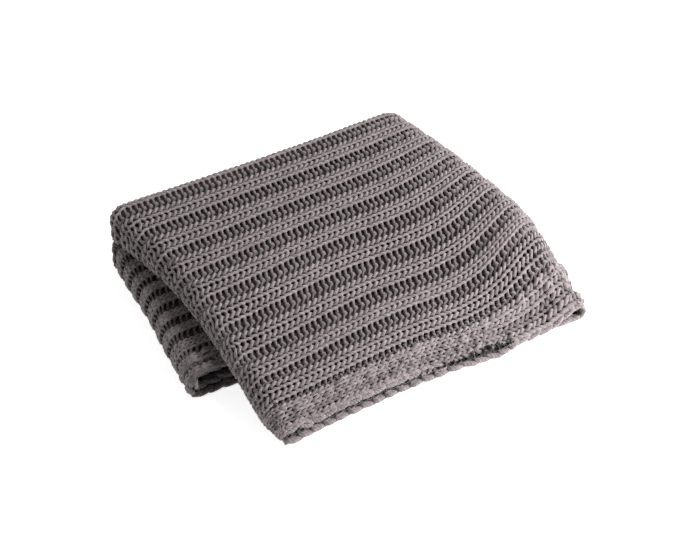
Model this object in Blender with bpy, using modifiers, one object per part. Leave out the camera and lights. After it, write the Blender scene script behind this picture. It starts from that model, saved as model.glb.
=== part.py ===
"""A chunky rib-knit blanket, folded into a low, soft rectangular stack.

The cloth is one sheet. It is doubled along a line that runs with its ribs, so that both
selvedges meet at the front, and the doubled sheet is then folded over along its length: a
loose fold on the lower left, a close fold on the right and a second close fold on the upper
left. +X runs along the ribs, from the left folds to the right fold, +Y from the front
selvedges to the doubled edge at the back, and +Z up. The floor is Z = 0.

The shape is a set of rib lines. Each row of the tables below is one line of the cloth, told by
its rib number: furrow 1 lies next to the back edge, furrow 9 next to the front selvedge. A line
goes back and forth through the stack, and a smooth curve through the rows gives the lines
between them. The faces are those of the rib crests; the furrows lie FURROW_DEPTH lower.
"""

from collections import namedtuple
import math

import bpy
import numpy as np

# Driving dimensions, in metres.
SHEET_THICKNESS = 0.0050
FURROW_DEPTH = 0.0024          # how far a furrow lies below the rib crests
PAIR_THICKNESS = 0.0158        # over both leaves of the doubled sheet
FURROWS = 9

BACK_RIB = 0.7                 # rib number where the sheet turns under at the back
SELVEDGE_RIB = 9.9             # rib number of the selvedge
CREST_START, CREST_END = 0.3, 0.7   # where between two furrows the flat crest begins and ends
BACK_TURN_STEPS = 6
INNER_RIB_STEPS = 18           # cells over the width of the inner leaf
RIGHT_FOLD_ROUNDNESS = 2.15    # exponent of the right fold's oval section; 2 is an ellipse
LEFT_FOLD_ROUNDNESS = 2.0
RIGHT_FOLD_REACH = 0.85        # depth of the right fold over half its height
TOP_MIDDLE_X = 0.0
LEVEL_RUN = 0.03               # how far past its ends the top keeps level
TURNED_ON_TOP = 0.28           # share of a rib's swing to the back made before the right fold
TURNING_RATE = 6.0             # share of that swing made in each metre where the fold begins
UNDER_TOP = 0.036              # from the top face down to the face below its second pair
UNDER_MIDDLE_AT = 0.6          # where along it that lower face follows the top

BLANKET_GREY = (0.27, 0.245, 0.24, 1.0)
BLANKET_ROUGHNESS = 0.95

# The upper half: where each rib line lies on the top, from the upper left fold to the right fold.
UpperLine = namedtuple(
    "UpperLine",
    "rib y_left y_middle x_right y_right y_turned z_left z_middle z_right z_fold x_fold",
)
UPPER = [
    UpperLine(0.7, 0.193, 0.190, 0.120, 0.193, 0.190, 0.091, 0.088, 0.089, 0.091, 0.228),
    UpperLine(3.0, 0.073, 0.083, 0.120, 0.091, 0.126, 0.088, 0.088, 0.088, 0.088, 0.230),
    UpperLine(5.0, -0.023, -0.007, 0.120, -0.002, 0.051, 0.084, 0.082, 0.084, 0.088, 0.230),
    UpperLine(7.0, -0.108, -0.091, 0.120, -0.086, -0.033, 0.061, 0.062, 0.068, 0.086, 0.227),
    UpperLine(9.0, -0.168, -0.160, 0.130, -0.152, -0.120, 0.039, 0.040, 0.042, 0.060, 0.218),
    UpperLine(9.9, -0.189, -0.182, 0.150, -0.191, -0.183, 0.025, 0.019, 0.0085, 0.022, 0.213),
]

# The pair under the top, which ends inside the stack, and the upper left fold that joins them.
UnderLine = namedtuple("UnderLine", "rib x_fold y_fold z_under x_end y_end z_end")
UNDER = [
    UnderLine(0.7, -0.206, 0.187, 0.050, 0.165, 0.186, 0.051),
    UnderLine(3.0, -0.200, 0.073, 0.050, 0.165, 0.100, 0.051),
    UnderLine(5.0, -0.200, -0.023, 0.046, 0.160, 0.020, 0.048),
    UnderLine(7.0, -0.203, -0.108, 0.0235, 0.140, -0.055, 0.038),
    UnderLine(9.0, -0.208, -0.162, 0.001, 0.100, -0.110, 0.023),
    UnderLine(9.9, -0.202, -0.172, 0.000, 0.080, -0.130, 0.017),
]

# The lower half: the loose lower left fold, and the pair above it, which ends inside the stack.
LowerLine = namedtuple("LowerLine", "rib x_fold y_fold z_over x_end y_end z_end")
LOWER = [
    LowerLine(0.7, -0.209, 0.187, 0.048, 0.170, 0.183, 0.0335),
    LowerLine(3.0, -0.219, 0.124, 0.048, 0.170, 0.130, 0.0335),
    LowerLine(5.0, -0.226, 0.069, 0.047, 0.165, 0.082, 0.0335),
    LowerLine(7.0, -0.236, 0.014, 0.044, 0.160, 0.033, 0.0335),
    LowerLine(9.0, -0.243, -0.040, 0.041, 0.150, -0.018, 0.0335),
    LowerLine(9.9, -0.246, -0.067, 0.038, 0.145, -0.040, 0.0335),
]

# The runs of the folded length, in order, with the cells along each and how far the inner leaf
# reaches past the outer leaf's selvedge at the run's start, in ribs.
Run = namedtuple("Run", "name cells inner_reach")
RUNS = [
    Run("under", 3, -0.2),
    Run("upper left fold", 8, -1.3),
    Run("top", 10, -0.7),
    Run("right fold", 10, -1.2),
    Run("bottom", 4, -1.3),
    Run("lower left fold", 8, -0.15),
    Run("over", 3, -0.15),
]
INNER_REACH_AT_END = -0.15
REACH_POWER = 3                # how closely the reach keeps to the inner leaf's edge
LIP_START, LIP_END = 2.00, 2.65     # places between which the inner leaf's edge shows at the front
LIP_CORNER = 2.04              # place of its left corner
LIP_FLATNESS = 8               # how evenly it shows between them
LIP_RIBS = 0.25                # how far the lip reaches past the outer leaf's selvedge, in ribs
LIP_REACH = 0.012              # how far the lip also spreads forward
LIP_FIRST_RIB = 8.6            # where the inner leaf starts to spread down to the floor
RIB_NUMBERS = np.array([line.rib for line in UPPER])
RIB_STEP = 0.05                # steps for the directions of the face
PLACE_STEP = 0.01


def smooth_weights(knots, targets):
    """Weights of a natural cubic through values at the knots, one row for each target."""
    count = len(knots)
    gaps = np.diff(knots)
    system = np.zeros((count, count))
    slopes = np.zeros((count, count))
    system[0, 0] = system[-1, -1] = 1.0
    for i in range(1, count - 1):
        system[i, i - 1 : i + 2] = gaps[i - 1], 2.0 * (gaps[i - 1] + gaps[i]), gaps[i]
        slopes[i, i - 1] = 6.0 / gaps[i - 1]
        slopes[i, i] = -6.0 / gaps[i - 1] - 6.0 / gaps[i]
        slopes[i, i + 1] = 6.0 / gaps[i]
    bends = np.linalg.solve(system, slopes)
    values = np.eye(count)
    targets = np.asarray(targets, float)
    inside = np.clip(targets, knots[0], knots[-1])
    cell = np.clip(np.searchsorted(knots, inside, side="right") - 1, 0, count - 2)
    gap = gaps[cell][..., None]
    past = (inside - knots[cell])[..., None]
    left = gap - past
    start, end = values[cell], values[cell + 1]
    bend_start, bend_end = bends[cell], bends[cell + 1]
    weights = (
        (bend_start * left**3 + bend_end * past**3) / (6.0 * gap)
        + (start / gap - bend_start * gap / 6.0) * left
        + (end / gap - bend_end * gap / 6.0) * past
    )
    slope = (
        (bend_end * past**2 - bend_start * left**2) / (2.0 * gap)
        + (end - start) / gap
        - (bend_end - bend_start) * gap / 6.0
    )
    return weights + slope * (targets - inside)[..., None]     # straight on past the ends


def oval(turn, roundness):
    """Cosine and sine of a turn, pushed out from a circle to an oval."""
    c, s = math.cos(turn), math.sin(turn)
    power = 2.0 / roundness
    return math.copysign(abs(c) ** power, c), math.copysign(abs(s) ** power, s)


def ease(t):
    return t * t * (3.0 - 2.0 * t)


def through(t, start, middle, end, middle_at):
    """A parabola through three points, met at 0, middle_at and 1."""
    m = middle_at
    a = (t - m) * (t - 1.0) / m
    b = t * (t - 1.0) / (m * (m - 1.0))
    c = t * (t - m) / (1.0 - m)
    return a * start + b * middle + c * end


def fold_point(turn, centre_x, reach, low, high, roundness):
    """A point of a fold's section; a turn of 0 is its top, pi its underside."""
    across, along = oval(turn, roundness)
    half = 0.5 * (high - low)
    return centre_x + reach * along, low + half + half * across


def top_curve(t, line, start_x, end_x):
    """The top of one rib line, level where it meets the left fold and the right fold."""
    x = start_x + (end_x - start_x) * t
    before, after = start_x - LEVEL_RUN, end_x + LEVEL_RUN
    knots = np.array([before, start_x, TOP_MIDDLE_X, line.x_right, end_x, after])
    turning = line.y_turned - line.y_right
    y_end = line.y_right + TURNED_ON_TOP * turning
    y_after = y_end + LEVEL_RUN * TURNING_RATE * turning
    ys = [line.y_left, line.y_left, line.y_middle, line.y_right, y_end, y_after]
    zs = [line.z_left, line.z_left, line.z_middle, line.z_right, line.z_fold, line.z_fold]
    weights = smooth_weights(knots, [x])[0]
    return x, float(weights @ ys), float(weights @ zs)


def rib_line(run, t, upper, under, lower):
    """A point of one rib line: run is the run's number and t goes from 0 to 1 along it."""
    half_upper = 0.5 * (upper.z_left - under.z_under)
    upper_start = under.x_fold + half_upper
    right_reach = RIGHT_FOLD_REACH * 0.5 * upper.z_fold
    right_start = upper.x_fold - right_reach
    half_lower = 0.5 * lower.z_over
    lower_start = lower.x_fold + half_lower
    turning = upper.y_turned - upper.y_right
    if run == 0:
        x = under.x_end + (upper_start - under.x_end) * t
        y = under.y_end + (under.y_fold - under.y_end) * ease(t)
        middle = max(0.5 * (upper.z_middle - UNDER_TOP + under.z_under), 0.0)
        z = through(ease(t), under.z_end, middle, under.z_under, ease(UNDER_MIDDLE_AT))
        return x, y, z
    if run == 1:
        turn = math.pi * (1.0 - t)
        x, z = fold_point(
            turn, upper_start, -half_upper, under.z_under, upper.z_left, LEFT_FOLD_ROUNDNESS
        )
        return x, under.y_fold + (upper.y_left - under.y_fold) * ease(t), z
    if run == 2:
        return top_curve(t, upper, upper_start, right_start)
    if run == 3:
        x, z = fold_point(
            math.pi * t, right_start, right_reach, 0.0, upper.z_fold, RIGHT_FOLD_ROUNDNESS
        )
        return x, upper.y_right + turning * (TURNED_ON_TOP + (1.0 - TURNED_ON_TOP) * t), z
    if run == 4:
        x = right_start + (lower_start - right_start) * t
        return x, upper.y_turned + (lower.y_fold - upper.y_turned) * t, 0.0
    if run == 5:
        turn = math.pi * (1.0 - t)
        x, z = fold_point(turn, lower_start, -half_lower, 0.0, lower.z_over, LEFT_FOLD_ROUNDNESS)
        return x, lower.y_fold, z
    x = lower_start + (lower.x_end - lower_start) * t
    y = lower.y_fold + (lower.y_end - lower.y_fold) * ease(t)
    return x, y, lower.z_over + (lower.z_end - lower.z_over) * ease(t)


def station(place):
    """Run number and place in the run, for a place from 0 to the number of runs."""
    run = min(max(int(place), 0), len(RUNS) - 1)
    return run, place - run


def rib_rows(places):
    """Every table row's points at the given places, as rows, places and coordinates."""
    return np.array(
        [
            [rib_line(*station(place), *lines) for place in places]
            for lines in zip(UPPER, UNDER, LOWER)
        ]
    )


def crest_points(ribs, rows):
    """Points on the crest face, for an array of rib numbers by places."""
    weights = smooth_weights(RIB_NUMBERS, ribs)
    return np.einsum("rsk,ksc->rsc", weights, rows)


def unit(vectors):
    return vectors / np.linalg.norm(vectors, axis=-1, keepdims=True)


def crest_frame(ribs, places):
    """Crest points with their outward normals and their directions towards the back."""
    points = crest_points(ribs, rib_rows(places))
    ahead = crest_points(ribs, rib_rows(places + PLACE_STEP))
    behind = crest_points(ribs, rib_rows(places - PLACE_STEP))
    frontward = crest_points(ribs + RIB_STEP, rib_rows(places)) - crest_points(
        ribs - RIB_STEP, rib_rows(places)
    )
    normals = unit(np.cross(frontward, ahead - behind))
    return points, normals, -unit(frontward)


def furrow(rib):
    """How deep the face lies at a rib number: FURROW_DEPTH in a furrow, nothing on a crest."""
    away = np.abs(rib - np.round(rib))
    depth = FURROW_DEPTH * np.clip(1.0 - away / CREST_START, 0.0, 1.0)
    return np.where((rib > BACK_RIB) & (rib < SELVEDGE_RIB), depth, 0.0)


def outer_rib_numbers():
    """Columns of the outer leaf, selvedge first: crest edges and furrow bottoms."""
    ribs = [SELVEDGE_RIB]
    for number in range(FURROWS, 0, -1):
        ribs += [number + CREST_END, number + CREST_START, float(number)]
    return np.array(ribs + [BACK_RIB])


def lip_share(places):
    """How fully the inner leaf's edge shows at the front, from 0 to 1, at each place."""
    middle, half = 0.5 * (LIP_START + LIP_END), 0.5 * (LIP_END - LIP_START)
    return np.clip(1.0 - ((places - middle) / half) ** LIP_FLATNESS, 0.0, 1.0)


def inner_reach(places):
    """How far the inner leaf reaches past the outer leaf's selvedge, in ribs, at each place."""
    ends = [run.inner_reach for run in RUNS] + [INNER_REACH_AT_END]
    reach = np.interp(places, range(len(ends)), ends)
    return reach + (LIP_RIBS - reach) * lip_share(places)


def outer_face(places):
    """The sheet's outer face as a grid: selvedge, outer leaf, back turn, inner leaf, selvedge."""
    outer = np.repeat(outer_rib_numbers()[:, None], len(places), axis=1)
    points, normals, _ = crest_frame(outer, places)
    outer_leaf = points - normals * furrow(outer)[..., None]

    back = np.full((1, len(places)), BACK_RIB)
    points, normals, backward = crest_frame(back, places)
    radius = 0.5 * PAIR_THICKNESS
    turns = [math.pi * i / BACK_TURN_STEPS for i in range(1, BACK_TURN_STEPS)]
    turned = [
        points - normals * radius + radius * (normals * math.cos(a) + backward * math.sin(a))
        for a in turns
    ]

    pattern = np.linspace(BACK_RIB, SELVEDGE_RIB, INNER_RIB_STEPS + 1)[:, None]
    across = (pattern - BACK_RIB) / (SELVEDGE_RIB - BACK_RIB)
    inner = pattern + inner_reach(places) * across**REACH_POWER
    points, normals, _ = crest_frame(inner, places)
    depth = PAIR_THICKNESS - furrow(np.round(2.0 * pattern) / 2.0)
    inner_leaf = points - normals * depth[..., None]
    edge = np.clip((inner - LIP_FIRST_RIB) / (SELVEDGE_RIB - LIP_FIRST_RIB), 0.0, 1.0)
    lip = lip_share(places) * ease(edge)
    inner_leaf[..., 1] -= LIP_REACH * lip
    inner_leaf[..., 2] *= 1.0 - lip
    return np.concatenate([outer_leaf, *turned, inner_leaf])


def folded_places():
    """Every place along the folded length where the sheet has a row of corners."""
    places = [
        number + cell / run.cells for number, run in enumerate(RUNS) for cell in range(run.cells)
    ]
    return np.array(sorted(places + [LIP_CORNER, float(len(RUNS))]))


def blanket_sheet(collection):
    """The folded cloth: its outer face as a grid, thickened inwards."""
    grid = outer_face(folded_places())
    grid[..., 2] = np.maximum(grid[..., 2], 0.0)      # what reaches the floor spreads out on it
    low, high = grid.min(axis=(0, 1)), grid.max(axis=(0, 1))
    centre = 0.5 * (low + high)
    grid -= (centre[0], centre[1], low[2])
    columns, stations, _ = grid.shape
    faces = [
        (
            i * stations + j,
            i * stations + j + 1,
            (i + 1) * stations + j + 1,
            (i + 1) * stations + j,
        )
        for i in range(columns - 1)
        for j in range(stations - 1)
    ]
    mesh = bpy.data.meshes.new("blanket")
    mesh.from_pydata(grid.reshape(-1, 3).tolist(), [], faces)
    mesh.update()
    blanket = bpy.data.objects.new("blanket", mesh)
    collection.objects.link(blanket)
    solid = blanket.modifiers.new("Sheet thickness", "SOLIDIFY")
    solid.thickness = SHEET_THICKNESS
    solid.offset = -1.0
    solid.use_even_offset = True
    return blanket


def knit_material():
    material = bpy.data.materials.new("Taupe grey knit")
    material.use_nodes = True
    shader = material.node_tree.nodes["Principled BSDF"]
    shader.inputs["Base Color"].default_value = BLANKET_GREY
    shader.inputs["Roughness"].default_value = BLANKET_ROUGHNESS
    shader.inputs["Metallic"].default_value = 0.0
    return material


def main():
    for thing in list(bpy.data.objects):
        bpy.data.objects.remove(thing, do_unlink=True)
    collection = bpy.data.collections.new("Chunky knit blanket")
    bpy.context.scene.collection.children.link(collection)
    blanket = blanket_sheet(collection)
    blanket.data.materials.append(knit_material())
    blanket.data.shade_smooth()


main()
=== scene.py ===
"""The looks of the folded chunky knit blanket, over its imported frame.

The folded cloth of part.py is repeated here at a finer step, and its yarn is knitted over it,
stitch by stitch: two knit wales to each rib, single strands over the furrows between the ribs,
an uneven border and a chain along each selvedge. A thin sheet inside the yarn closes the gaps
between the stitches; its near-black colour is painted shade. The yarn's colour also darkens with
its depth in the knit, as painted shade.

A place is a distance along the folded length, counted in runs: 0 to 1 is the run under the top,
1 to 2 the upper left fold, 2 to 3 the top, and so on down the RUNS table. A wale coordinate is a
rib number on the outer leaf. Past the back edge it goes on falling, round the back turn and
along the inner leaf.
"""

from collections import namedtuple
import math

import bpy
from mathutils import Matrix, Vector
import numpy as np


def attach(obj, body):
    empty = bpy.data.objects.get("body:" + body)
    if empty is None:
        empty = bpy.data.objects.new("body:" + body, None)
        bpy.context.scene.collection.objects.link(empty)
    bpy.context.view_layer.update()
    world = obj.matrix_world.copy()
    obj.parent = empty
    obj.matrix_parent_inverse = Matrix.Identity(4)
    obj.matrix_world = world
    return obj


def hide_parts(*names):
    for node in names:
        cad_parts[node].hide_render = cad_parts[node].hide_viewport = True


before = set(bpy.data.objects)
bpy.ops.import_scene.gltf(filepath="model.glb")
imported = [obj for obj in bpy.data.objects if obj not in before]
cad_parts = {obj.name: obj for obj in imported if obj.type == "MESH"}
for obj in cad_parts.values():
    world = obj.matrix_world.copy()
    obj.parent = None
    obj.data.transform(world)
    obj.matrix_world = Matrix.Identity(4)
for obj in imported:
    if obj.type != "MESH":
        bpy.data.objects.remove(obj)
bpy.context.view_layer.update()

# The folded cloth, in metres, as in part.py but fitted closer to the photo.
PAIR_THICKNESS = 0.0158        # over both leaves of the doubled cloth
BACK_RIB = 0.7                 # rib number where the cloth turns under at the back
SELVEDGE_RIB = 9.9             # rib number of the outer selvedge
FURROWS = 9
RIGHT_FOLD_ROUNDNESS = 2.15    # exponents of the folds' oval sections; 2 is an ellipse
LEFT_FOLD_ROUNDNESS = 2.0
LOWER_FOLD_ROUNDNESS = 2.4
CORNER_RIBS = 2.0              # width of the left folds' back corner, in ribs
BACK_CORNER = 0.009            # how far the upper one is rounded off there
BACK_SQUARENESS = 1.5          # added to the folds' roundness there, on the upper one mostly below
LOWEST_ON_TOP = 0.0095         # least height of the top face
RIGHT_FOLD_REACH = 0.85        # depth of the right fold over half its height
TOP_MIDDLE_X = 0.0
LEVEL_RUN = 0.03               # how far past its ends the top keeps level
TURNED_ON_TOP = 0.42           # share of a rib's swing to the back made before the right fold
TURNING_RATE = 6.0             # share of that swing made in each metre where the fold begins
UNDER_TOP = 0.036              # from the top face down to the face below its second pair
UNDER_MIDDLE_AT = 0.6          # where along it that lower face follows the top
TABLE_ORIGIN = np.array([0.00789, -0.00370, 0.0])   # where the tables' origin lies in the frame

# The upper half: where each rib line lies on the top, from the upper left fold to the right fold.
UpperLine = namedtuple(
    "UpperLine",
    "rib y_left y_middle x_right y_right y_turned z_left z_middle z_right z_fold x_fold",
)
UPPER = [
    UpperLine(0.7, 0.193, 0.191, 0.120, 0.1940, 0.1945, 0.089, 0.090, 0.0905, 0.0922, 0.2250),
    UpperLine(3.0, 0.073, 0.083, 0.120, 0.091, 0.126, 0.088, 0.088, 0.088, 0.088, 0.2335),
    UpperLine(5.0, -0.023, -0.007, 0.120, -0.002, 0.051, 0.084, 0.082, 0.084, 0.088, 0.2335),
    UpperLine(7.0, -0.108, -0.091, 0.120, -0.086, -0.033, 0.061, 0.062, 0.068, 0.086, 0.2300),
    UpperLine(9.0, -0.168, -0.160, 0.130, -0.152, -0.120, 0.039, 0.040, 0.042, 0.060, 0.2180),
    UpperLine(9.9, -0.190, -0.1845, 0.160, -0.193, -0.190, 0.016, 0.0125, 0.0100, 0.025, 0.2125),
]

# The pair under the top, which ends inside the stack, and the upper left fold that joins them.
UnderLine = namedtuple("UnderLine", "rib x_fold y_fold z_under x_end y_end z_end")
UNDER = [
    UnderLine(0.7, -0.2095, 0.187, 0.0440, 0.165, 0.186, 0.051),
    UnderLine(3.0, -0.203, 0.073, 0.045, 0.165, 0.100, 0.051),
    UnderLine(5.0, -0.206, -0.023, 0.045, 0.160, 0.020, 0.048),
    UnderLine(7.0, -0.208, -0.108, 0.0235, 0.140, -0.055, 0.038),
    UnderLine(9.0, -0.208, -0.162, 0.001, 0.100, -0.110, 0.023),
    UnderLine(9.9, -0.202, -0.180, 0.000, 0.080, -0.130, 0.017),
]

# The lower left fold and the pair over it, which ends inside the stack.
LowerLine = namedtuple("LowerLine", "rib x_fold y_fold z_over x_end y_end z_end")
LOWER = [
    LowerLine(0.7, -0.208, 0.189, 0.0475, 0.170, 0.183, 0.0335),
    LowerLine(3.0, -0.219, 0.124, 0.045, 0.170, 0.130, 0.0335),
    LowerLine(5.0, -0.226, 0.069, 0.047, 0.165, 0.082, 0.0335),
    LowerLine(7.0, -0.236, 0.014, 0.044, 0.160, 0.033, 0.0335),
    LowerLine(9.0, -0.2440, -0.040, 0.041, 0.150, -0.018, 0.0335),
    LowerLine(9.9, -0.2485, -0.0715, 0.038, 0.145, -0.040, 0.0335),
]

# The runs of the folded length, with the cells along each, and how far the inner leaf reaches
# past the outer selvedge where the run begins, in ribs.
Run = namedtuple("Run", "name cells inner_reach")
RUNS = [
    Run("under", 30, -0.2),
    Run("upper left fold", 48, -1.3),
    Run("top", 120, -0.7),
    Run("right fold", 64, -1.2),
    Run("bottom", 80, -1.3),
    Run("lower left fold", 48, -0.15),
    Run("over", 60, -0.15),
]
UNDER_RUN, UPPER_FOLD, TOP, RIGHT_FOLD, BOTTOM, LOWER_FOLD, OVER_RUN = range(len(RUNS))
INNER_REACH_AT_END = -0.15
REACH_POWER = 3                # the inner leaf's ribs shift mostly near its selvedge

# The lip: the inner leaf's edge where it shows under the front edge, in full at a share of 1.
LipShare = namedtuple("LipShare", "place share")
LIP_SHARES = [
    LipShare(1.92, 0.0), LipShare(1.96, 0.8), LipShare(1.99, 1.06), LipShare(2.02, 1.12),
    LipShare(2.06, 1.06), LipShare(2.10, 1.0), LipShare(2.60, 1.0), LipShare(2.70, 0.97),
    LipShare(2.80, 0.77), LipShare(2.90, 0.58), LipShare(2.98, 0.35), LipShare(3.05, 0.0),
]
LIP_RIBS = 0.25                # how far it reaches past the outer selvedge, in ribs
LIP_REACH = 0.005              # how far it is drawn to the front
LIP_FIRST_RIB = 8.6            # where it begins
RIB_NUMBERS = np.array([line.rib for line in UPPER])
MIDDLE_RIB = 5.0               # distances along the folded length are measured on this rib
RIB_STEP, PLACE_STEP = 0.05, 0.01      # steps for the slopes of the face
LEAF_LINES = 185               # lines looked up over each leaf
TURN_LINES = 11                # and over the back turn
CELL_MARGIN = 0.001            # keeps a look-up inside its last cell

# The knit, in metres and in shares of a wale's width.
COURSE_PITCH = 0.00785         # length of a stitch
YARN_RADIUS = 0.0020
YARN_FLATNESS = 0.95           # the yarn's depth over its width
TWIST_PITCH = 0.0075           # of the yarn's two plies
LOOP_HALF_HEIGHT = 0.0061      # half of a knit loop's height along the ribs
LOOP_SWELL = 0.225             # how far a loop's legs swing to the sides, in wale widths
LOOP_LEAN = 16.0               # how far a loop leans towards the back, in wale widths a metre
LOOP_DEPTH = 0.0019            # how far the yarn weaves in and out of the face
KNIT_DEPTH = 0.0038            # from the crest face down to the middle of a knit wale's yarn

# The strand over a furrow, from front to back. It climbs by one course, and its bend is swollen.
StrandPoint = namedtuple("StrandPoint", "turn climb sink thickness")
STRAND = [
    StrandPoint(0.00, 0.00, 0.2, 0.80),
    StrandPoint(0.08, 0.06, 1.0, 0.62),
    StrandPoint(0.50, 0.85, 1.0, 0.62),
    StrandPoint(0.60, 1.00, 0.50, 2.35),
    StrandPoint(0.70, 1.00, 1.0, 1.00),
    StrandPoint(0.93, 1.00, 1.0, 1.00),
    StrandPoint(1.00, 1.00, 0.0, 1.00),
]

# By place: the yarn's thickness in knit wales, in furrows and from the last furrow to the
# selvedge, the depth of the furrows, and how much they are narrowed by the knit beside them.
YarnPlace = namedtuple("YarnPlace", "place knit furrow last depth narrowing")
YARN_PLACES = [
    YarnPlace(0.80, 0.92, 0.85, 0.84, 0.0064, 0.30),
    YarnPlace(1.20, 0.94, 0.85, 0.72, 0.0064, 0.60),
    YarnPlace(1.80, 0.86, 0.88, 0.68, 0.0064, 0.60),
    YarnPlace(2.08, 0.96, 1.00, 0.74, 0.0068, 0.20),
    YarnPlace(2.30, 1.00, 1.00, 0.84, 0.0068, 0.00),
    YarnPlace(2.60, 1.00, 1.00, 0.94, 0.0068, 0.00),
    YarnPlace(2.75, 1.00, 1.00, 1.06, 0.0068, 0.00),
    YarnPlace(2.85, 1.00, 1.10, 1.20, 0.0066, 0.00),
    YarnPlace(3.05, 1.00, 1.35, 1.36, 0.0052, 0.00),
    YarnPlace(4.70, 0.95, 0.60, 1.00, 0.0078, 0.00),
    YarnPlace(5.00, 0.83, 0.52, 0.90, 0.0080, -0.20),
    YarnPlace(7.00, 0.83, 0.52, 0.90, 0.0080, -0.20),
]

BORDER_DEPTHS = (0.0042, 0.0062, 0.0046, 0.0034)   # of its wales, from the selvedge inwards
BORDER_START = 0.04            # from the selvedge to the border's first wale, in ribs
BORDER_UNEVENNESS = 0.0013     # of its stitches, along the ribs and in depth
BORDER_SPREAD, KNIT_SPREAD = 0.12, 0.04    # unevenness of the yarn's radius
SWELL_SPREAD, HEIGHT_SPREAD = 0.06, 0.05   # of a loop's swing and of its height
STRAND_UNEVENNESS = 0.0005     # of a furrow's strand, along the ribs
ALONG_UNEVENNESS = 0.0003      # of all yarn, along the ribs
ACROSS_UNEVENNESS = 0.02       # and across them, in wale widths
FURROW_SAMPLES = 3             # more in a furrow's strand than in a knit stitch
INNER_EDGE_RIBS, INNER_EDGE_WALES = 0.75, 3    # how much of the inner leaf is knitted, at its edge
INNER_EDGE_DEPTH = 0.0098      # seen from inside the pair of leaves
FURROW_HALF = 0.20             # half of a furrow's width, in ribs
LAST_FURROW_HALF = 0.10        # the furrow beside the border is narrower
TURN_RIBS = 0.54               # width of the back turn, in ribs

# The thin sheet inside the yarn, dark with painted shade where it shows between the stitches.
BASE_DEPTH = 0.0074            # below the face
BASE_THICKNESS = 0.0004
BASE_RISE = 0.0040             # how much nearer to the face it is at the back turn
BASE_RISE_HALF = 0.6           # half of the width where it is, in widths of the back turn
BASE_MARGIN = 0.08             # from a selvedge to its edge, in ribs
BASE_GAP = 0.25                # from the back turn to its next line, in ribs
BASE_INNER_LINES, BASE_TURN_LINES, BASE_OUTER_LINES = 36, 9, 37
BASE_LENGTH_LINES = 300

# The chains along the selvedges: rows of closed links, one to every two courses.
LinkRow = namedtuple(
    "LinkRow", "name wale start end phase half_width radius overlap depth lift tilt"
)
LINK_ROWS = [
    LinkRow("outer_selvedge", 9.86, 0.8, 6.4, 0.0, 0.0026, 0.0027, 1.25, 0.0048, 0.0014, 0.0),
    LinkRow("inner_selvedge", -9.0, 0.8, 6.4, 0.3, 0.0030, 0.0031, 1.22, 0.0040, 0.0018, 0.2),
]
LINK_SEGMENTS, LINK_SIDES = 14, 6
LINK_THINNING = 0.25           # of the yarn at a link's two ends
LINK_WIDTH_SPREAD, LINK_TILT_SPREAD = 0.08, 0.12
BESIDE = 0.1                   # step to the side for a link's direction, in ribs
# Painted shade by place: how deep the chains' colour is darkened under the stack, where it
# overhangs them, but not at the inner one's bend
LinkShade = namedtuple("LinkShade", "place outer inner")
LINK_SHADES = [                # the chains darken under the stack, but not the inner one's bend
    LinkShade(4.60, 0.0000, 0.0000),
    LinkShade(5.00, 0.0080, 0.0104),
    LinkShade(5.20, 0.0075, 0.0092),
    LinkShade(5.34, 0.0070, 0.0010),
    LinkShade(5.60, 0.0070, 0.0010),
    LinkShade(5.72, 0.0075, 0.0100),
]
RANDOM_SEED = 7


# ---- the folded cloth --------------------------------------------------------------------------

def smooth_weights(knots, targets):
    """Weights of a natural cubic through values at the knots, one row for each target."""
    count = len(knots)
    gaps = np.diff(knots)
    system = np.zeros((count, count))
    slopes = np.zeros((count, count))
    system[0, 0] = system[-1, -1] = 1.0
    for i in range(1, count - 1):
        system[i, i - 1 : i + 2] = gaps[i - 1], 2.0 * (gaps[i - 1] + gaps[i]), gaps[i]
        slopes[i, i - 1] = 6.0 / gaps[i - 1]
        slopes[i, i] = -6.0 / gaps[i - 1] - 6.0 / gaps[i]
        slopes[i, i + 1] = 6.0 / gaps[i]
    bends = np.linalg.solve(system, slopes)
    values = np.eye(count)
    targets = np.asarray(targets, float)
    inside = np.clip(targets, knots[0], knots[-1])
    cell = np.clip(np.searchsorted(knots, inside, side="right") - 1, 0, count - 2)
    gap = gaps[cell][..., None]
    past = (inside - knots[cell])[..., None]
    left = gap - past
    start, end = values[cell], values[cell + 1]
    bend_start, bend_end = bends[cell], bends[cell + 1]
    weights = (
        (bend_start * left**3 + bend_end * past**3) / (6.0 * gap)
        + (start / gap - bend_start * gap / 6.0) * left
        + (end / gap - bend_end * gap / 6.0) * past
    )
    slope = (
        (bend_end * past**2 - bend_start * left**2) / (2.0 * gap)
        + (end - start) / gap
        - (bend_end - bend_start) * gap / 6.0
    )
    return weights + slope * (targets - inside)[..., None]     # straight on past the ends


def oval(turn, roundness):
    """A point of a rounded square or ellipse, two units wide, at an angle from its top."""
    c, s = math.cos(turn), math.sin(turn)
    power = 2.0 / roundness
    return math.copysign(abs(c) ** power, c), math.copysign(abs(s) ** power, s)


def ease(t):
    """A smooth step from 0 to 1."""
    return t * t * (3.0 - 2.0 * t)


def through(t, start, middle, end, middle_at):
    """The value at t of the parabola through a start, a middle and an end."""
    m = middle_at
    a = (t - m) * (t - 1.0) / m
    b = t * (t - 1.0) / (m * (m - 1.0))
    c = t * (t - m) / (1.0 - m)
    return a * start + b * middle + c * end


def fold_point(turn, centre_x, reach, low, high, roundness):
    """The X and Z of a fold's section between two heights, at an angle from its top."""
    across, along = oval(turn, roundness)
    half = 0.5 * (high - low)
    return centre_x + reach * along, low + half + half * across


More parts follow.
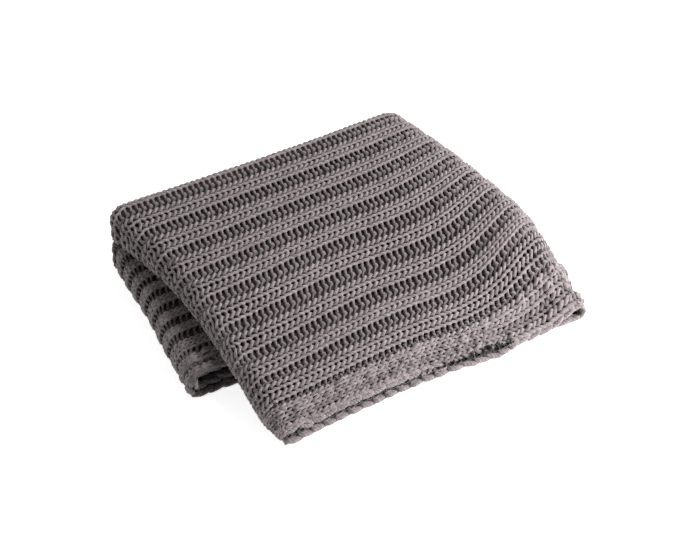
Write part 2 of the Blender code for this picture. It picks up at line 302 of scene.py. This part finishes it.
def top_curve(t, line, start_x, end_x):
    """A point of a rib line on the top."""
    x = start_x + (end_x - start_x) * t
    before, after = start_x - LEVEL_RUN, end_x + LEVEL_RUN
    knots = np.array([before, start_x, TOP_MIDDLE_X, line.x_right, end_x, after])
    turning = line.y_turned - line.y_right
    y_end = line.y_right + TURNED_ON_TOP * turning
    y_after = y_end + LEVEL_RUN * TURNING_RATE * turning
    ys = [line.y_left, line.y_left, line.y_middle, line.y_right, y_end, y_after]
    zs = [line.z_left, line.z_left, line.z_middle, line.z_right, line.z_fold, line.z_fold]
    weights = smooth_weights(knots, [x])[0]
    return x, float(weights @ ys), max(float(weights @ zs), LOWEST_ON_TOP)


def rib_line(run, t, upper, under, lower):
    """A point of one rib line: run is the run's number and t goes from 0 to 1 along it."""
    half_upper = 0.5 * (upper.z_left - under.z_under)
    upper_start = under.x_fold + half_upper
    right_reach = RIGHT_FOLD_REACH * 0.5 * upper.z_fold
    right_start = upper.x_fold - right_reach
    half_lower = 0.5 * lower.z_over
    lower_start = lower.x_fold + half_lower
    turning = upper.y_turned - upper.y_right
    at_corner = max(0.0, 1.0 - (upper.rib - BACK_RIB) / CORNER_RIBS)
    if run == UNDER_RUN:
        x = under.x_end + (upper_start - under.x_end) * t
        y = under.y_end + (under.y_fold - under.y_end) * ease(t)
        middle = max(0.5 * (upper.z_middle - UNDER_TOP + under.z_under), 0.0)
        z = through(ease(t), under.z_end, middle, under.z_under, ease(UNDER_MIDDLE_AT))
        return x, y, z
    if run == UPPER_FOLD:
        turn = math.pi * (1.0 - t)
        roundness = LEFT_FOLD_ROUNDNESS + 2.0 * (1.0 - t) * BACK_SQUARENESS * at_corner
        x, z = fold_point(
            turn, upper_start, -half_upper, under.z_under, upper.z_left, roundness
        )
        y = under.y_fold + (upper.y_left - under.y_fold) * ease(t)
        y -= BACK_CORNER * at_corner * math.sin(turn)
        return x, y, z
    if run == TOP:
        return top_curve(t, upper, upper_start, right_start)
    if run == RIGHT_FOLD:
        x, z = fold_point(
            math.pi * t, right_start, right_reach, 0.0, upper.z_fold, RIGHT_FOLD_ROUNDNESS
        )
        return x, upper.y_right + turning * (TURNED_ON_TOP + (1.0 - TURNED_ON_TOP) * t), z
    if run == BOTTOM:
        x = right_start + (lower_start - right_start) * t
        return x, upper.y_turned + (lower.y_fold - upper.y_turned) * ease(t), 0.0
    if run == LOWER_FOLD:
        turn = math.pi * (1.0 - t)
        roundness = LOWER_FOLD_ROUNDNESS + BACK_SQUARENESS * at_corner
        x, z = fold_point(turn, lower_start, -half_lower, 0.0, lower.z_over, roundness)
        return x, lower.y_fold, z
    x = lower_start + (lower.x_end - lower_start) * t
    y = lower.y_fold + (lower.y_end - lower.y_fold) * ease(t)
    return x, y, lower.z_over + (lower.z_end - lower.z_over) * ease(t)


def rib_rows(places):
    """Every table row's points at the given places, as rows, places and coordinates."""
    runs = [min(max(int(place), UNDER_RUN), OVER_RUN) for place in places]
    return np.array(
        [
            [rib_line(run, place - run, *lines) for run, place in zip(runs, places)]
            for lines in zip(UPPER, UNDER, LOWER)
        ]
    )


def crest_points(ribs, rows):
    """Points on the crest face, for an array of rib numbers by places."""
    return np.einsum("rsk,ksc->rsc", smooth_weights(RIB_NUMBERS, ribs), rows)


def unit(vectors):
    """The vectors, each one unit long."""
    return vectors / np.linalg.norm(vectors, axis=-1, keepdims=True)


def lip_share(places):
    """How fully the inner leaf's edge shows at the front, from 0 to 1, at each place."""
    table = np.array(LIP_SHARES)
    return np.interp(places, table[:, 0], table[:, 1])


def inner_reach(places):
    """How far the inner leaf reaches past the outer leaf's selvedge, in ribs, at each place."""
    ends = [run.inner_reach for run in RUNS] + [INNER_REACH_AT_END]
    reach = np.interp(places, range(len(ends)), ends)
    return reach + (LIP_RIBS - reach) * lip_share(places)


class Cloth:
    """The folded face, looked up by wale coordinate and by distance along the folded length.

    The wale coordinate is the rib number over the outer leaf. Past BACK_RIB it goes on through
    the back turn, TURN_RIBS wide, and then along the inner leaf to its selvedge.
    """

    def __init__(self):
        places = np.array(
            [n + c / run.cells for n, run in enumerate(RUNS) for c in range(run.cells)]
            + [float(len(RUNS))]
        )
        self.places = places
        self.rows = rib_rows(places)
        self.ahead = rib_rows(places + PLACE_STEP)
        self.behind = rib_rows(places - PLACE_STEP)
        middle = crest_points(np.full((1, len(places)), MIDDLE_RIB), self.rows)[0]
        steps = np.linalg.norm(np.diff(middle, axis=0), axis=1)
        self.along = np.concatenate([[0.0], np.cumsum(steps)])
        ribs = np.linspace(BACK_RIB, SELVEDGE_RIB, LEAF_LINES)
        turns = np.linspace(0.0, math.pi, TURN_LINES + 2)[1:-1]
        outer_face, outer_normals = self.outer_leaf(ribs)
        turn_face, turn_normals = self.back_turn(turns)
        inner_face, inner_normals = self.inner_leaf(ribs)
        self.face = np.concatenate([inner_face[::-1], turn_face[::-1], outer_face])
        normals = np.concatenate([inner_normals[::-1], turn_normals[::-1], outer_normals])
        self.normals = unit(normals)
        inner_wales = BACK_RIB - TURN_RIBS - (ribs - BACK_RIB)
        turn_wales = BACK_RIB - TURN_RIBS * turns / math.pi
        self.wales = np.concatenate([inner_wales[::-1], turn_wales[::-1], ribs])
        self.inner_selvedge = inner_wales[-1]

    def directions(self, ribs):
        """Points of the crest face, its normals and the way to the back, by rib and place."""
        points = crest_points(ribs, self.rows)
        frontward = crest_points(ribs + RIB_STEP, self.rows) - crest_points(
            ribs - RIB_STEP, self.rows
        )
        along = crest_points(ribs, self.ahead) - crest_points(ribs, self.behind)
        return points, unit(np.cross(frontward, along)), -unit(frontward)

    def outer_leaf(self, ribs):
        """The outer leaf's face and normals."""
        points, normals, _ = self.directions(np.repeat(ribs[:, None], len(self.places), axis=1))
        return points, normals

    def back_turn(self, turns):
        """The half round along the back, at each angle from the outer leaf."""
        points, normals, backward = self.directions(np.full((1, len(self.places)), BACK_RIB))
        radius = 0.5 * PAIR_THICKNESS
        outward = np.concatenate(
            [normals * math.cos(a) + backward * math.sin(a) for a in turns]
        )
        return points - normals * radius + radius * outward, outward

    def inner_leaf(self, ribs):
        """The inner leaf's face, seen from inside the fold, and its normals."""
        across = ((ribs - BACK_RIB) / (SELVEDGE_RIB - BACK_RIB))[:, None]
        inner = ribs[:, None] + inner_reach(self.places) * across**REACH_POWER
        points, normals, _ = self.directions(inner)
        face = points - normals * PAIR_THICKNESS
        edge = np.clip((inner - LIP_FIRST_RIB) / (SELVEDGE_RIB - LIP_FIRST_RIB), 0.0, 1.0)
        lip = lip_share(self.places) * ease(edge)
        face[..., 1] -= LIP_REACH * lip
        face[..., 2] *= 1.0 - lip
        down = np.array([0.0, 0.0, -1.0])
        return face, -normals * (1.0 - lip[..., None]) + down * lip[..., None]

    def at(self, wale, along):
        """Points of the face and its outward normals."""
        last_row, last_column = len(self.wales) - 1, len(self.along) - 1
        row = np.interp(wale, self.wales, np.arange(last_row + 1))
        column = np.interp(along, self.along, np.arange(last_column + 1))
        row = np.clip(row, 0, last_row - CELL_MARGIN)
        column = np.clip(column, 0, last_column - CELL_MARGIN)
        i, j = row.astype(int), column.astype(int)
        a, b = (row - i)[..., None], (column - j)[..., None]
        found = []
        for grid in (self.face, self.normals):
            near = grid[i, j] * (1.0 - b) + grid[i, j + 1] * b
            far = grid[i + 1, j] * (1.0 - b) + grid[i + 1, j + 1] * b
            found.append(near * (1.0 - a) + far * a)
        return found[0], unit(found[1])

    def length_at(self, place):
        """The distance along the folded length at a place."""
        return float(np.interp(place, self.places, self.along))


# ---- the yarn ----------------------------------------------------------------------------------

Wale = namedtuple("Wale", "start end kind depth")


def rib_wales():
    """Every wale of the outer leaf, from its selvedge over the back turn."""
    last = FURROWS + LAST_FURROW_HALF
    border = np.linspace(SELVEDGE_RIB - BORDER_START, last, len(BORDER_DEPTHS) + 1)
    wales = [
        Wale(a, b, "border", depth) for a, b, depth in zip(border[:-1], border[1:], BORDER_DEPTHS)
    ]
    for number in range(FURROWS, -1, -1):
        half = LAST_FURROW_HALF if number == FURROWS else FURROW_HALF
        wales.append(Wale(number + half, number - half, "furrow", KNIT_DEPTH + LOOP_DEPTH))
        if number:
            knit = np.linspace(number - half, number - 1 + FURROW_HALF, 3)
            wales += [Wale(a, b, "knit", KNIT_DEPTH) for a, b in zip(knit[:-1], knit[1:])]
    return wales


def strand(turn):
    """The columns of the STRAND table, at each turn."""
    table = np.array(STRAND)
    return [np.interp(turn, table[:, 0], column) for column in table.T]


def stitch_path(wales, courses, samples, yarn_at, rng):
    """The yarn of each course: wale coordinates, distances, depths and radii, sample by sample.

    The yarn climbs by one course where it crosses a furrow.
    """
    parts = []
    crossed = 0
    for wale in wales:
        count = samples + FURROW_SAMPLES if wale.kind == "furrow" else samples
        turn = np.arange(count) / count
        noise = rng.standard_normal((4, len(courses), 1))
        bulge = np.sin(math.pi * turn)
        base = courses[:, None] + COURSE_PITCH * crossed
        here = yarn_at(base)
        if wale.kind == "furrow":
            _, climb, sink, thickness = strand(turn)
            across = np.broadcast_to(turn, (len(courses), count))
            along = (
                -LOOP_HALF_HEIGHT + COURSE_PITCH * climb + STRAND_UNEVENNESS * noise[0] * bulge
            )
            depth = wale.depth + (here.depth - wale.depth) * sink
            thickness = thickness * (here.last if wale.start > FURROWS else here.furrow)
            crossed += 1
        else:
            swell = LOOP_SWELL * (1.0 + SWELL_SPREAD * noise[0])
            height = LOOP_HALF_HEIGHT * (1.0 + HEIGHT_SPREAD * noise[2] * bulge)
            along = -height * np.cos(2.0 * math.pi * turn)
            across = turn + swell * np.sin(4.0 * math.pi * turn) + LOOP_LEAN * along
            depth = wale.depth + LOOP_DEPTH * np.cos(4.0 * math.pi * turn)
            thickness = here.last if wale.kind == "border" else here.knit
            if wale.kind == "border":
                along = along + BORDER_UNEVENNESS * noise[1] * bulge
                depth = depth + BORDER_UNEVENNESS * noise[0] * bulge
        across = across + ACROSS_UNEVENNESS * noise[1] * bulge
        across = wale.start - (wale.start - wale.end) * across
        along = base + along + ALONG_UNEVENNESS * noise[3] * bulge
        spread = BORDER_SPREAD if wale.kind == "border" else KNIT_SPREAD
        radius = YARN_RADIUS * thickness * (1.0 + spread * noise[2])
        parts.append(np.broadcast_arrays(across, along, depth, radius))
    across, along, depth, radius = (np.concatenate(part, axis=1) for part in zip(*parts))
    return across, smooth_rows(along), smooth_rows(depth), smooth_rows(radius)


def smooth_rows(values):
    """Each row's values with a light average over neighbours, its ends kept."""
    result = values.copy()
    result[:, 1:-1] = 0.25 * values[:, :-2] + 0.5 * values[:, 1:-1] + 0.25 * values[:, 2:]
    return result


def tubes(points, normals, radius, depth, sides, closed=False):
    """Tubes along rows of points, flattened towards the normals.

    Gives the vertices, each one's depth below the cloth's face, which sets the yarn's painted
    shade, the faces and their corners' UVs: the distance along the yarn in turns of its twist, and
    the share of the way round it.
    """
    if closed:
        tangents = np.roll(points, -1, axis=1) - np.roll(points, 1, axis=1)
    else:
        tangents = np.gradient(points, axis=1)
    lengths = np.cumsum(np.linalg.norm(tangents, axis=-1), axis=1)
    lengths = 0.5 * np.concatenate([lengths, 2.0 * lengths[:, -1:] - lengths[:, -2:-1]], axis=1)
    tangents = unit(tangents)
    aside = unit(np.cross(tangents, normals))
    up = np.cross(aside, tangents)
    angles = 2.0 * math.pi * np.arange(sides) / sides
    ring = (
        aside[:, :, None] * np.cos(angles)[:, None]
        + YARN_FLATNESS * up[:, :, None] * np.sin(angles)[:, None]
    )
    vertices = points[:, :, None] + radius[..., None, None] * ring
    shade_depths = depth[..., None] - radius[..., None] * YARN_FLATNESS * np.sin(angles)
    rows, count = points.shape[:2]
    index = np.arange(rows * count * sides).reshape(rows, count, sides)
    following = np.roll(index, -1, axis=1) if closed else index[:, 1:]
    first = index if closed else index[:, :-1]
    quads = np.stack(
        [first, following, np.roll(following, -1, axis=2), np.roll(first, -1, axis=2)], axis=-1
    )
    steps = first.shape[1]
    here = np.broadcast_to(lengths[:, :steps, None], first.shape) / TWIST_PITCH
    there = np.broadcast_to(lengths[:, 1 : steps + 1, None], first.shape) / TWIST_PITCH
    near = np.broadcast_to(np.arange(sides) / sides, first.shape)
    far = near + 1.0 / sides
    corners = (here, near), (there, near), (there, far), (here, far)
    uvs = np.stack([np.stack(corner, axis=-1) for corner in corners], axis=-2)
    return vertices.reshape(-1, 3), shade_depths.ravel(), quads.reshape(-1, 4), uvs.reshape(-1, 2)


def mesh_object(name, vertices, quads, material, shade_depths=None, uvs=None):
    """A visible piece of four-sided faces. Nothing of it lies below the floor."""
    mesh = bpy.data.meshes.new(name)
    vertices = np.asarray(vertices, float) + TABLE_ORIGIN
    vertices[:, 2] = np.maximum(vertices[:, 2], 0.0)
    mesh.vertices.add(len(vertices))
    mesh.vertices.foreach_set("co", vertices.ravel())
    mesh.loops.add(quads.size)
    mesh.loops.foreach_set("vertex_index", quads.ravel())
    mesh.polygons.add(len(quads))
    mesh.polygons.foreach_set("loop_start", np.arange(0, quads.size, 4))
    if uvs is not None:
        mesh.uv_layers.new(name="Yarn").data.foreach_set("uv", uvs.ravel())
        # the yarn's depth in the knit, which sets its painted shade
        mesh.attributes.new("shade_depth", "FLOAT", "POINT").data.foreach_set("value", shade_depths)
    mesh.update(calc_edges=True)
    mesh.validate()
    mesh.shade_smooth()
    piece = bpy.data.objects.new(name, mesh)
    bpy.context.scene.collection.objects.link(piece)
    mesh.materials.append(material)
    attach(piece, "root")
    return piece


def yarn_object(name, points, normals, radius, depth, sides, material, closed=False):
    """A piece of tubes."""
    vertices, shade_depths, quads, uvs = tubes(points, normals, radius, depth, sides, closed)
    return mesh_object(name, vertices, quads, material, shade_depths, uvs)


def knit_piece(region, cloth, wales, material, rng):
    """The yarn of a region's courses, over some wales."""
    first = math.ceil(cloth.length_at(region.start) / COURSE_PITCH)
    last = math.ceil(cloth.length_at(region.end) / COURSE_PITCH)
    courses = COURSE_PITCH * np.arange(first, last)
    table = np.array(YARN_PLACES)

    def yarn_at(along):
        places = np.interp(along, cloth.along, cloth.places)
        return YarnPlace(*[np.interp(places, table[:, 0], column) for column in table.T])

    wale, along, depth, radius = stitch_path(wales, courses, region.samples, yarn_at, rng)
    full_turn = 2.0 * math.pi
    shift = yarn_at(along).narrowing * np.sin(full_turn * wale) / full_turn
    narrowed = (wale > 0.5) & (wale < FURROWS + 0.5)    # from the first rib's middle to the last's
    wale = wale - np.where(narrowed, shift, 0.0)
    face, normals = cloth.at(wale, along)
    points = face - normals * depth[..., None]
    return yarn_object(region.name, points, normals, radius, depth, region.sides, material)


def link_piece(row, cloth, material, rng):
    """A row of leaf-shaped links along a selvedge."""
    pitch = 2.0 * COURSE_PITCH
    length = row.overlap * pitch
    first = math.ceil(cloth.length_at(row.start) / pitch)
    last = math.floor(cloth.length_at(row.end) / pitch)
    starts = pitch * (np.arange(first, last)[:, None] + row.phase)
    turn = 2.0 * math.pi * np.arange(LINK_SEGMENTS) / LINK_SEGMENTS
    noise = rng.standard_normal((3, len(starts), 1))
    along = 0.5 * length * (1.0 - np.cos(turn)) + ALONG_UNEVENNESS * noise[0]
    across = row.half_width * (1.0 + LINK_WIDTH_SPREAD * noise[1]) * np.sin(turn)
    across = across + (row.tilt + LINK_TILT_SPREAD * noise[2]) * (along - 0.5 * length)
    along = along + starts
    face, normals = cloth.at(np.full(along.shape, row.wale), along)
    beside, _ = cloth.at(np.full(along.shape, row.wale - math.copysign(BESIDE, row.wale)), along)
    lift = row.lift * np.cos(turn)
    points = face - normals * (row.depth + lift)[..., None]
    points = points + unit(beside - face) * across[..., None]
    radius = row.radius * (1.0 - LINK_THINNING * np.cos(turn) ** 4)
    radius = np.broadcast_to(radius, along.shape)
    # painted shade: the chains' colour darkens by place under the stack
    places = np.interp(along, cloth.along, cloth.places)
    shade_depths = [shade_depth.outer if row.wale > 0.0 else shade_depth.inner for shade_depth in LINK_SHADES]
    depth = np.interp(places, [shade_depth.place for shade_depth in LINK_SHADES], shade_depths)
    return yarn_object(
        row.name, points, normals, radius, depth, LINK_SIDES, material, closed=True
    )


def base_sheet(cloth, material):
    """The thin closed sheet inside the yarn, from one selvedge to the other, painted shade between
    the stitches.
    """
    inner_start, inner_end = cloth.inner_selvedge + BASE_MARGIN, BACK_RIB - TURN_RIBS - BASE_GAP
    wales = np.concatenate([
        np.linspace(inner_start, inner_end, BASE_INNER_LINES),
        np.linspace(BACK_RIB - TURN_RIBS, BACK_RIB, BASE_TURN_LINES),
        np.linspace(BACK_RIB + BASE_GAP, SELVEDGE_RIB - BASE_MARGIN, BASE_OUTER_LINES),
    ])
    along = np.linspace(0.0, cloth.along[-1], BASE_LENGTH_LINES)
    grid_wales, grid_along = np.meshgrid(wales, along, indexing="ij")
    face, normals = cloth.at(grid_wales, grid_along)
    middle, half = BACK_RIB - 0.5 * TURN_RIBS, BASE_RISE_HALF * TURN_RIBS
    raised = BASE_RISE * np.exp(-(((grid_wales - middle) / half) ** 4))[..., None]
    shells = [
        face - normals * (depth - raised) for depth in (BASE_DEPTH, BASE_DEPTH + BASE_THICKNESS)
    ]
    rows, count = grid_wales.shape
    index = np.arange(2 * rows * count).reshape(2, rows, count)

    def cells(layer):
        """The faces of one of its two sides."""
        return np.stack(
            [layer[:-1, :-1], layer[:-1, 1:], layer[1:, 1:], layer[1:, :-1]], axis=-1
        ).reshape(-1, 4)

    outline = np.concatenate([
        index[:, 0, :], index[:, 1:, -1], index[:, -1, -2::-1], index[:, -2:0:-1, 0]
    ], axis=1)
    rim = np.stack([
        outline[0], outline[1], np.roll(outline[1], -1), np.roll(outline[0], -1)
    ], axis=-1)
    quads = np.concatenate([cells(index[0])[:, ::-1], cells(index[1]), rim])
    return mesh_object("blanket_shade_sheet", np.concatenate(shells).reshape(-1, 3), quads, material)


# ---- materials ---------------------------------------------------------------------------------

YARN_DARK, YARN_LIGHT = (0.128, 0.1055, 0.108, 1.0), (0.216, 0.181, 0.185, 1.0)
YARN_ROUGHNESS, YARN_SHINE = 0.92, 0.2
YARN_SHEEN, SHEEN_ROUGHNESS = 0.25, 0.5
MOTTLE_SCALE, MOTTLE_DETAIL = 160.0, 6.0
MOTTLE_DARK, MOTTLE_LIGHT = 0.35, 0.68     # where in the noise the two tones lie
# Painted shade: the yarn's colour darkens from the first depth to the second, down to this share
SHADE_DEPTH_START, SHADE_DEPTH_FULL, PAINTED_SHADE_FACTOR = 0.0012, 0.0108, 0.10   # how the yarn darkens with its depth
PLIES = 2
TWIST_HEIGHT = 0.5             # of the plies' bumps, over the fibres'
FIBRE_SCALE, FIBRE_DETAIL = 900.0, 4.0
BUMP_STRENGTH, BUMP_DISTANCE = 0.5, 0.0008
# Painted shade: the near-black colour of the sheet inside the yarn, where it shows between the
# stitches
GAP_SHADE_COLOUR, GAP_SHADE_ROUGHNESS = (0.034, 0.025, 0.026, 1.0), 1.0


def yarn_material(name):
    """Matt two-ply yarn: mottled, with painted shade deep in the knit, and the twist and fibres as
    bumps.
    """
    material = bpy.data.materials.new(name)
    material.use_nodes = True
    nodes, links = material.node_tree.nodes, material.node_tree.links
    shader = nodes["Principled BSDF"]
    shader.inputs["Roughness"].default_value = YARN_ROUGHNESS
    shader.inputs["Specular IOR Level"].default_value = YARN_SHINE
    shader.inputs["Sheen Weight"].default_value = YARN_SHEEN
    shader.inputs["Sheen Roughness"].default_value = SHEEN_ROUGHNESS
    place = nodes.new("ShaderNodeTexCoord")
    mottle = nodes.new("ShaderNodeTexNoise")
    mottle.inputs["Scale"].default_value = MOTTLE_SCALE
    mottle.inputs["Detail"].default_value = MOTTLE_DETAIL
    ramp = nodes.new("ShaderNodeValToRGB")
    tones = (MOTTLE_DARK, YARN_DARK), (MOTTLE_LIGHT, YARN_LIGHT)
    for element, (position, colour) in zip(ramp.color_ramp.elements, tones):
        element.position, element.color = position, colour
    links.new(place.outputs["Object"], mottle.inputs["Vector"])
    links.new(mottle.outputs["Fac"], ramp.inputs["Fac"])

    # Painted shade: the base colour is scaled darker with the yarn's depth in the knit
    shade_depth = nodes.new("ShaderNodeAttribute")
    shade_depth.attribute_name = "shade_depth"
    shade = nodes.new("ShaderNodeMapRange")
    shade.inputs["From Min"].default_value = SHADE_DEPTH_START
    shade.inputs["From Max"].default_value = SHADE_DEPTH_FULL
    shade.inputs["To Min"].default_value = 1.0
    shade.inputs["To Max"].default_value = PAINTED_SHADE_FACTOR
    shaded = nodes.new("ShaderNodeVectorMath")
    shaded.operation = "SCALE"
    links.new(shade_depth.outputs["Fac"], shade.inputs["Value"])
    links.new(ramp.outputs["Color"], shaded.inputs[0])
    links.new(shade.outputs["Result"], shaded.inputs["Scale"])
    links.new(shaded.outputs["Vector"], shader.inputs["Base Color"])

    yarn_map = nodes.new("ShaderNodeUVMap")
    yarn_map.uv_map = "Yarn"
    split = nodes.new("ShaderNodeSeparateXYZ")
    helix = nodes.new("ShaderNodeMath")
    helix.operation = "ADD"
    turned = nodes.new("ShaderNodeMath")
    turned.operation = "MULTIPLY"
    turned.inputs[1].default_value = 2.0 * math.pi * PLIES
    plies = nodes.new("ShaderNodeMath")
    plies.operation = "SINE"
    fibre = nodes.new("ShaderNodeTexNoise")
    fibre.inputs["Scale"].default_value = FIBRE_SCALE
    fibre.inputs["Detail"].default_value = FIBRE_DETAIL
    height = nodes.new("ShaderNodeMath")
    height.operation = "MULTIPLY_ADD"
    height.inputs[1].default_value = TWIST_HEIGHT
    raised = nodes.new("ShaderNodeBump")
    raised.inputs["Strength"].default_value = BUMP_STRENGTH
    raised.inputs["Distance"].default_value = BUMP_DISTANCE
    links.new(yarn_map.outputs["UV"], split.inputs["Vector"])
    links.new(split.outputs["X"], helix.inputs[0])
    links.new(split.outputs["Y"], helix.inputs[1])
    links.new(helix.outputs["Value"], turned.inputs[0])
    links.new(turned.outputs["Value"], plies.inputs[0])
    links.new(place.outputs["Object"], fibre.inputs["Vector"])
    links.new(plies.outputs["Value"], height.inputs[0])
    links.new(fibre.outputs["Fac"], height.inputs[2])
    links.new(height.outputs["Value"], raised.inputs["Height"])
    links.new(raised.outputs["Normal"], shader.inputs["Normal"])
    return material


def plain_material(name, colour, roughness):
    """A matt material of one colour, with no shine."""
    material = bpy.data.materials.new(name)
    material.use_nodes = True
    shader = material.node_tree.nodes["Principled BSDF"]
    shader.inputs["Base Color"].default_value = colour
    shader.inputs["Roughness"].default_value = roughness
    shader.inputs["Specular IOR Level"].default_value = 0.0
    return material


# ---- the stage ---------------------------------------------------------------------------------

CAMERA_AZIMUTH = -32.904       # degrees, from straight in front towards the left
CAMERA_ELEVATION = 36.114
CAMERA_DISTANCE = 2.0154
CAMERA_TARGET = Vector((-0.0101, -0.0299, 0.045))
CAMERA_LENS = 90.0
SENSOR_WIDTH = 36.0
WHITE = (1.0, 1.0, 1.0, 1.0)
WORLD_STRENGTH = 0.28
FLOOR_SIZE, FLOOR_Z = 14.0, -0.0002
FLOOR_COLOUR, FLOOR_ROUGHNESS, FLOOR_GLOW = (0.93, 0.93, 0.93, 1.0), 0.9, 0.72
Light = namedtuple("Light", "name kind location energy size")    # a sun's size is in degrees
LIGHTS = [
    Light("Softbox", "SUN", (0.48, -0.38, 0.79), 2.4, 25.0),
    Light("Fill", "SUN", (-0.72, -0.26, 0.64), 0.42, 20.0),
    Light("Key", "AREA", (0.75, -0.62, 0.45), 20.0, 0.5),
]


def add_camera():
    """The camera at the photo's angle."""
    a, e = math.radians(CAMERA_AZIMUTH), math.radians(CAMERA_ELEVATION)
    away = Vector((math.sin(a) * math.cos(e), -math.cos(a) * math.cos(e), math.sin(e)))
    data = bpy.data.cameras.new("Camera")
    data.lens = CAMERA_LENS
    data.sensor_width = SENSOR_WIDTH
    camera = bpy.data.objects.new("Camera", data)
    bpy.context.scene.collection.objects.link(camera)
    camera.location = CAMERA_TARGET + Vector(TABLE_ORIGIN) + away * CAMERA_DISTANCE
    camera.rotation_euler = (-away).to_track_quat("-Z", "Y").to_euler()
    bpy.context.scene.camera = camera


def add_light(row):
    """A light that shines on the origin."""
    data = bpy.data.lights.new(row.name, row.kind)
    data.energy = row.energy
    if row.kind == "SUN":
        data.angle = math.radians(row.size)
    else:
        data.shape, data.size = "DISK", row.size
    light = bpy.data.objects.new(row.name, data)
    light.location = row.location
    light.rotation_euler = (-Vector(row.location)).to_track_quat("-Z", "Y").to_euler()
    bpy.context.scene.collection.objects.link(light)


def add_stage():
    """A pale floor and plain soft studio light."""
    bpy.ops.mesh.primitive_plane_add(size=FLOOR_SIZE, location=(0.0, 0.0, FLOOR_Z))
    floor = bpy.context.object
    floor.name = "floor"
    pale = plain_material("Pale floor", FLOOR_COLOUR, FLOOR_ROUGHNESS)
    shader = pale.node_tree.nodes["Principled BSDF"]
    shader.inputs["Emission Color"].default_value = WHITE
    shader.inputs["Emission Strength"].default_value = FLOOR_GLOW
    floor.data.materials.append(pale)
    world = bpy.data.worlds.new("Studio")
    world.use_nodes = True
    background = world.node_tree.nodes["Background"]
    background.inputs["Color"].default_value = WHITE
    background.inputs["Strength"].default_value = WORLD_STRENGTH
    bpy.context.scene.world = world
    for row in LIGHTS:
        add_light(row)
    bpy.context.scene.view_settings.view_transform = "Standard"


# ---- assembly ----------------------------------------------------------------------------------

# The pieces of knit, from place to place, with the points of a stitch and the sides of its yarn.
KnitRegion = namedtuple("KnitRegion", "name start end samples sides")
KNIT_REGIONS = [
    KnitRegion("knit_upper_fold", 0.50, 2.02, 12, 6),
    KnitRegion("knit_top_left", 2.02, 2.36, 12, 6),
    KnitRegion("knit_top_middle", 2.36, 2.70, 12, 6),
    KnitRegion("knit_top_right", 2.70, 3.08, 12, 6),
    KnitRegion("knit_right_fold", 3.08, 4.0, 12, 6),
    KnitRegion("knit_bottom", 4.0, 4.75, 8, 4),
    KnitRegion("knit_lower_fold", 4.75, 6.35, 12, 6),
]
EDGE_REGIONS = [               # the inner leaf's edge, where it shows
    KnitRegion("inner_edge_front", 1.60, 3.40, 12, 6),
    KnitRegion("inner_edge_lower", 4.75, 6.35, 12, 6),
]
BACK_REGIONS = [               # the back edge goes on to the hidden ends of the cloth
    KnitRegion("back_edge_under", 0.0, 0.68, 10, 5),
    KnitRegion("back_edge_over", 6.52, 7.0, 10, 5),
]
BACK_EDGE_RIBS = 1.3           # width of that back edge


def inner_edge_wales(cloth):
    """The wales beside the inner selvedge."""
    end = cloth.inner_selvedge + INNER_EDGE_RIBS
    edge = np.linspace(cloth.inner_selvedge, end, INNER_EDGE_WALES + 1)
    return [Wale(a, b, "border", INNER_EDGE_DEPTH) for a, b in zip(edge[:-1], edge[1:])]


def main():
    """Every piece, in the order of their random draws, and then the camera and the stage."""
    rng = np.random.default_rng(RANDOM_SEED)
    cloth = Cloth()
    yarn = yarn_material("Taupe grey yarn")
    # the sheet inside the yarn is near-black, as painted shade between the stitches
    gap_shade = plain_material("Shaded yarn", GAP_SHADE_COLOUR, GAP_SHADE_ROUGHNESS)
    outer = rib_wales()
    inner = inner_edge_wales(cloth)
    back = [wale for wale in outer if wale.start < BACK_EDGE_RIBS]
    knits = [knit_piece(region, cloth, outer, yarn, rng) for region in KNIT_REGIONS]
    knits += [knit_piece(region, cloth, inner, yarn, rng) for region in EDGE_REGIONS]
    knits += [link_piece(row, cloth, yarn, rng) for row in LINK_ROWS]
    knits += [knit_piece(region, cloth, back, yarn, rng) for region in BACK_REGIONS]
    base = base_sheet(cloth, gap_shade)
    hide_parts("blanket")
    add_camera()
    add_stage()


main()
